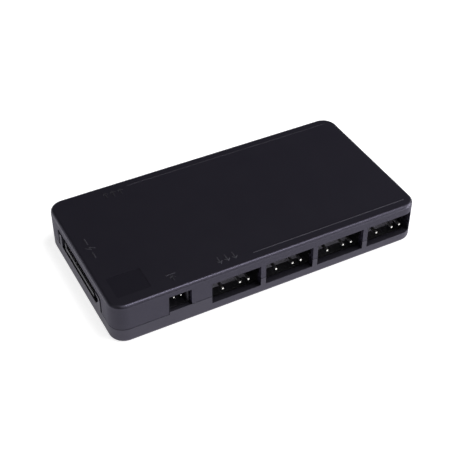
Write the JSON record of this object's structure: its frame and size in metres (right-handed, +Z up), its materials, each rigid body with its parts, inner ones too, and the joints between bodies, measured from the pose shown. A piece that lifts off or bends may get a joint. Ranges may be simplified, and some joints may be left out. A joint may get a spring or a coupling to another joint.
{
  "type": "argb fan hub",
  "caption": "Flat black box that shares a lighting signal among fans: rows of pinned output ports, a small input socket and a keyed power inlet.",
  "frame": {"origin": "middle of the underside", "axes": "+X along the case away from the power inlet, -Y is the front with the input socket, +Z up"},
  "size_m": [0.092, 0.0476, 0.0126],
  "materials": {
    "case_plastic": "black moulded plastic with a fine matt grain",
    "socket_plastic": "black glass-filled plastic",
    "plated_pin": "bright tin-plated square wire",
    "contact_plating": "tin-plated contact strip",
    "board_mask": "black solder mask on glass-fibre board",
    "screw_steel": "blackened steel",
    "chip_epoxy": "moulded epoxy",
    "can_aluminium": "drawn aluminium can",
    "fuse_coating": "dark green coating",
    "chip_ceramic": "fired ceramic body with tinned ends"
  },
  "bodies": {
    "root": {"top_cover": "case_plastic", "base_shell": "case_plastic", "circuit_board": "board_mask", "input_socket": "socket_plastic", "input_pins": "plated_pin", "power_inlet": "socket_plastic", "power_contacts": "contact_plating", "case_screws": "screw_steel", "signal_buffer": "chip_epoxy", "bulk_capacitor": "can_aluminium", "resettable_fuse": "fuse_coating", "bypass_capacitors": "chip_ceramic", "data_resistors": "chip_ceramic", "front_header_1": "socket_plastic", "front_pins_1": "plated_pin", "front_header_2": "socket_plastic", "front_pins_2": "plated_pin", "front_header_3": "socket_plastic", "front_pins_3": "plated_pin", "front_header_4": "socket_plastic", "front_pins_4": "plated_pin", "back_header_1": "socket_plastic", "back_pins_1": "plated_pin", "back_header_2": "socket_plastic", "back_pins_2": "plated_pin", "back_header_3": "socket_plastic", "back_pins_3": "plated_pin", "back_header_4": "socket_plastic", "back_pins_4": "plated_pin", "back_header_5": "socket_plastic", "back_pins_5": "plated_pin"}
  },
  "joints": []
}
